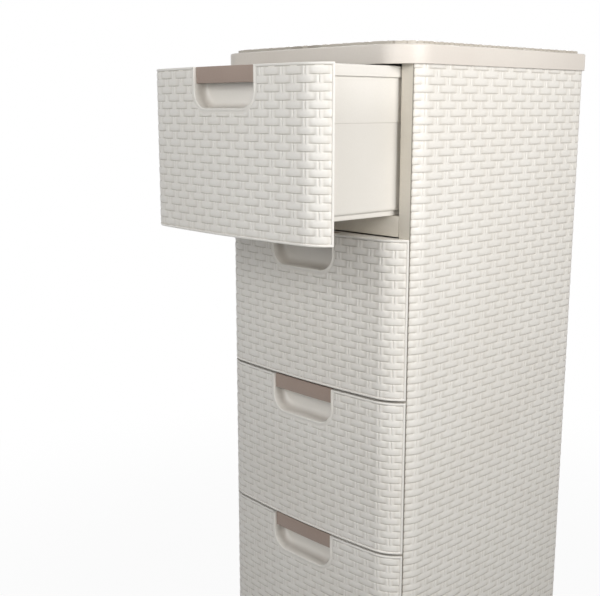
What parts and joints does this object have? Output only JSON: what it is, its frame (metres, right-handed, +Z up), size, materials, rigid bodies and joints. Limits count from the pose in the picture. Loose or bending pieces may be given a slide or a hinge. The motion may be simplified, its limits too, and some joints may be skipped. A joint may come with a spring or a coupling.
{
  "type": "plastic drawer tower",
  "caption": "Tall free-standing storage tower with a woven-look plastic skin, a bowed front, sliding drawers with finger notches, and a smooth cap; the top drawer stands part open.",
  "frame": {"origin": "on the floor, under the middle of the carcass", "axes": "+Z up; the drawers slide out towards -Y, the front; +X is on the right of someone who faces the front"},
  "size_m": [0.358, 0.519, 0.8835],
  "materials": {
    "woven_cream": "satin moulded plastic with a woven relief",
    "woven_top": "satin moulded plastic with a woven relief",
    "smooth_cream": "smooth satin moulded plastic",
    "smooth_frame": "smooth satin moulded plastic",
    "taupe_cap": "smooth, slightly glossy moulded plastic",
    "taupe_grip": "smooth satin moulded plastic"
  },
  "bodies": {
    "carcass": {"base": "taupe_cap", "left_side": "woven_cream", "right_side": "woven_cream", "back_panel": "smooth_cream", "top_cap": "taupe_cap", "top_insert": "woven_top", "front_rail_1": "smooth_frame", "front_rail_2": "smooth_frame", "front_rail_3": "smooth_frame", "front_rail_4": "smooth_frame", "runner_left_1": "smooth_frame", "runner_left_2": "smooth_frame", "runner_left_3": "smooth_frame", "runner_left_4": "smooth_frame", "runner_right_1": "smooth_frame", "runner_right_2": "smooth_frame", "runner_right_3": "smooth_frame", "runner_right_4": "smooth_frame"},
    "drawer_1": {"drawer_1_tub": "smooth_cream", "drawer_1_front": "woven_cream", "drawer_1_grip": "taupe_grip"},
    "drawer_2": {"drawer_2_tub": "smooth_cream", "drawer_2_front": "woven_cream", "drawer_2_grip": "taupe_grip"},
    "drawer_3": {"drawer_3_tub": "smooth_cream", "drawer_3_front": "woven_cream", "drawer_3_grip": "taupe_grip"},
    "drawer_4": {"drawer_4_tub": "smooth_cream", "drawer_4_front": "woven_cream", "drawer_4_grip": "taupe_grip"}
  },
  "joints": [
    {"name": "drawer_1_slide", "type": "slide", "parent": "carcass", "child": "drawer_1", "axis": [0, -1, 0], "range_m": [-0.13, 0.13]},
    {"name": "drawer_2_slide", "type": "slide", "parent": "carcass", "child": "drawer_2", "axis": [0, -1, 0], "range_m": [0, 0.26]},
    {"name": "drawer_3_slide", "type": "slide", "parent": "carcass", "child": "drawer_3", "axis": [0, -1, 0], "range_m": [0, 0.26]},
    {"name": "drawer_4_slide", "type": "slide", "parent": "carcass", "child": "drawer_4", "axis": [0, -1, 0], "range_m": [0, 0.26]}
  ]
}
